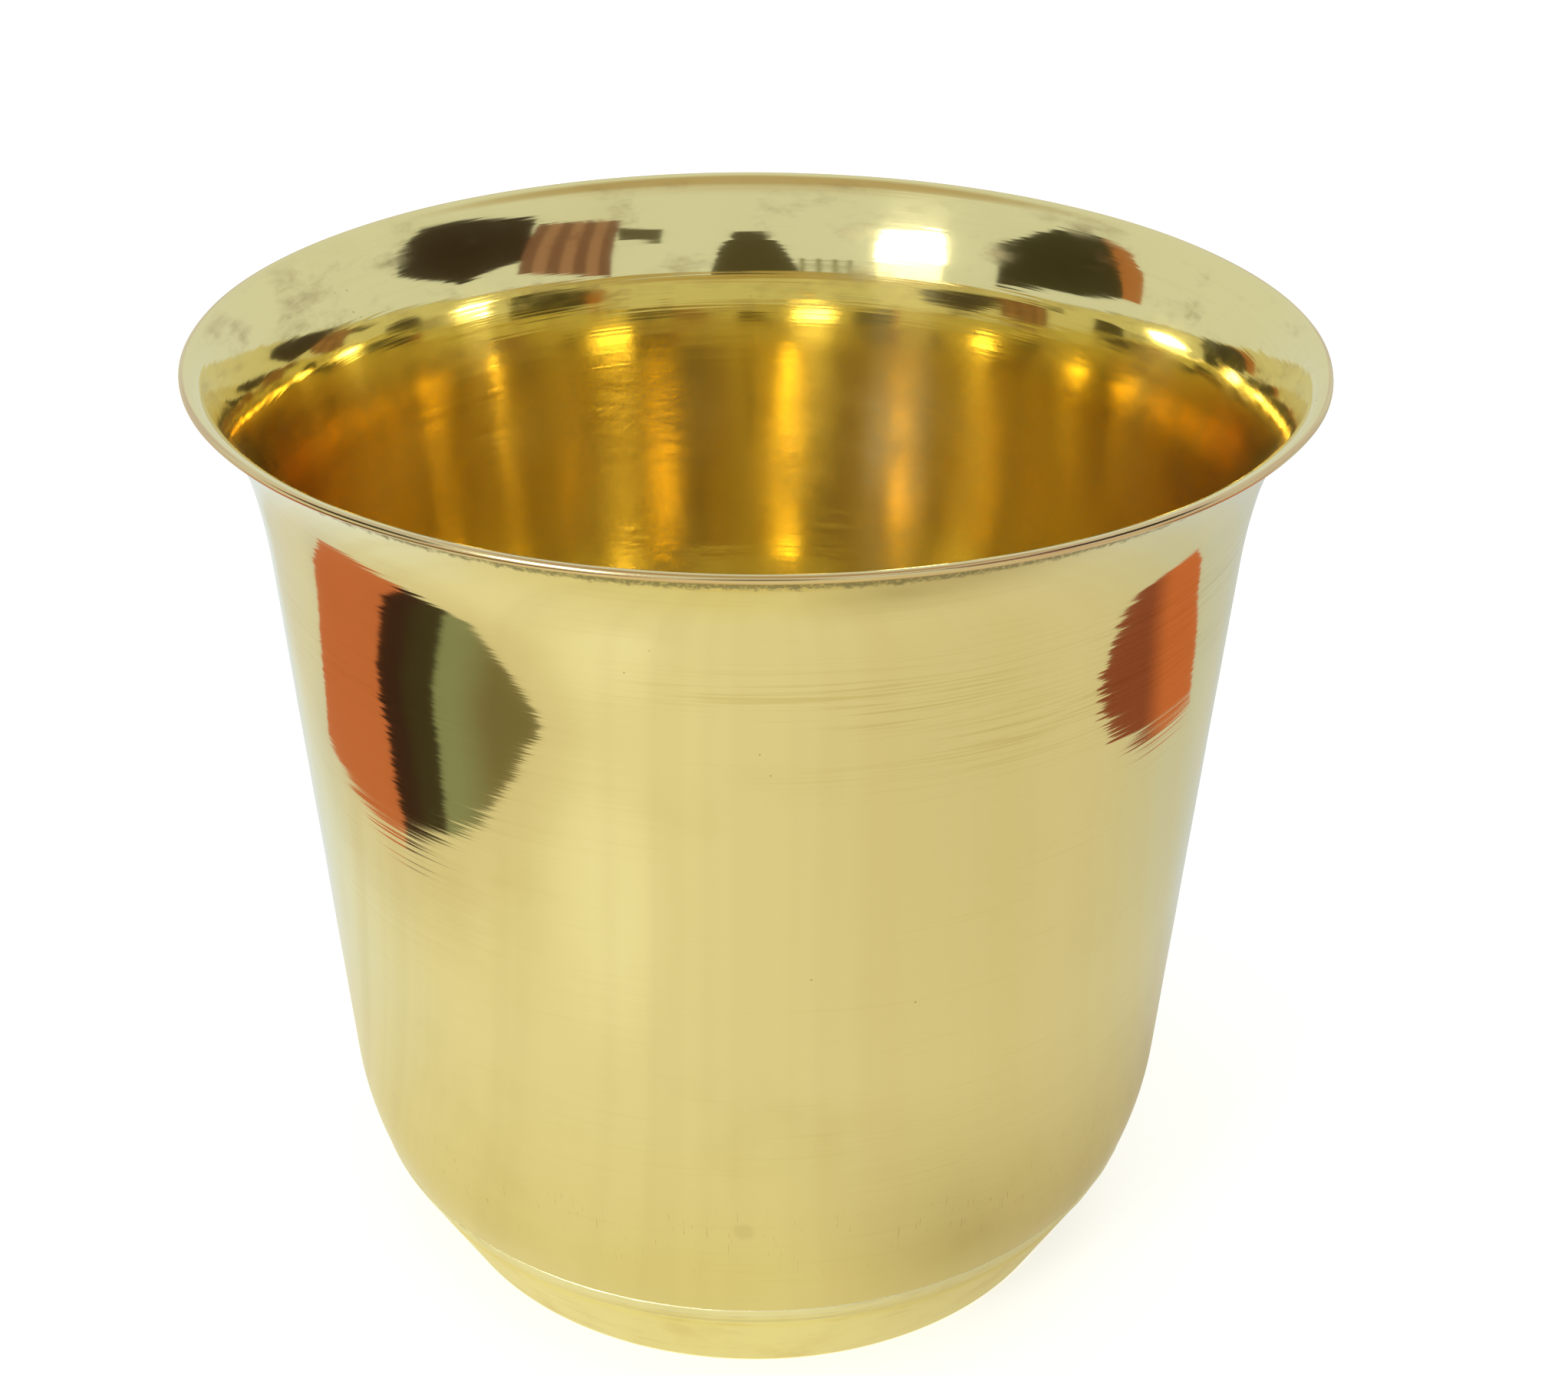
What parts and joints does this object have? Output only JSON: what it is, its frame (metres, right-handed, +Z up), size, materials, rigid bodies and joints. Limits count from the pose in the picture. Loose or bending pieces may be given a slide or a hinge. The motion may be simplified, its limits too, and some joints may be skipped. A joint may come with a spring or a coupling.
{
  "type": "open brass pot on a foot ring",
  "caption": "Deep round brass pot with a gently tapered wall, a flared trumpet rim and a rounded bottom on a short tapered foot ring; open at the top.",
  "frame": {"origin": "centre of the foot ring's base, on the surface that the pot stands on", "axes": "+Z up along the pot's axis of symmetry; X and Y are equal"},
  "size_m": [0.2, 0.2, 0.179],
  "materials": {
    "polished_brass": "mirror-polished spun brass with fine lines running round the pot",
    "foot_brass": "satin-polished yellow brass",
    "braze": "pale brazing metal, dressed smooth outside and left as it ran inside"
  },
  "bodies": {
    "root": {"pot_body": "polished_brass", "foot_ring": "foot_brass", "outer_braze_band": "braze", "inner_braze_seam": "braze"}
  },
  "joints": []
}
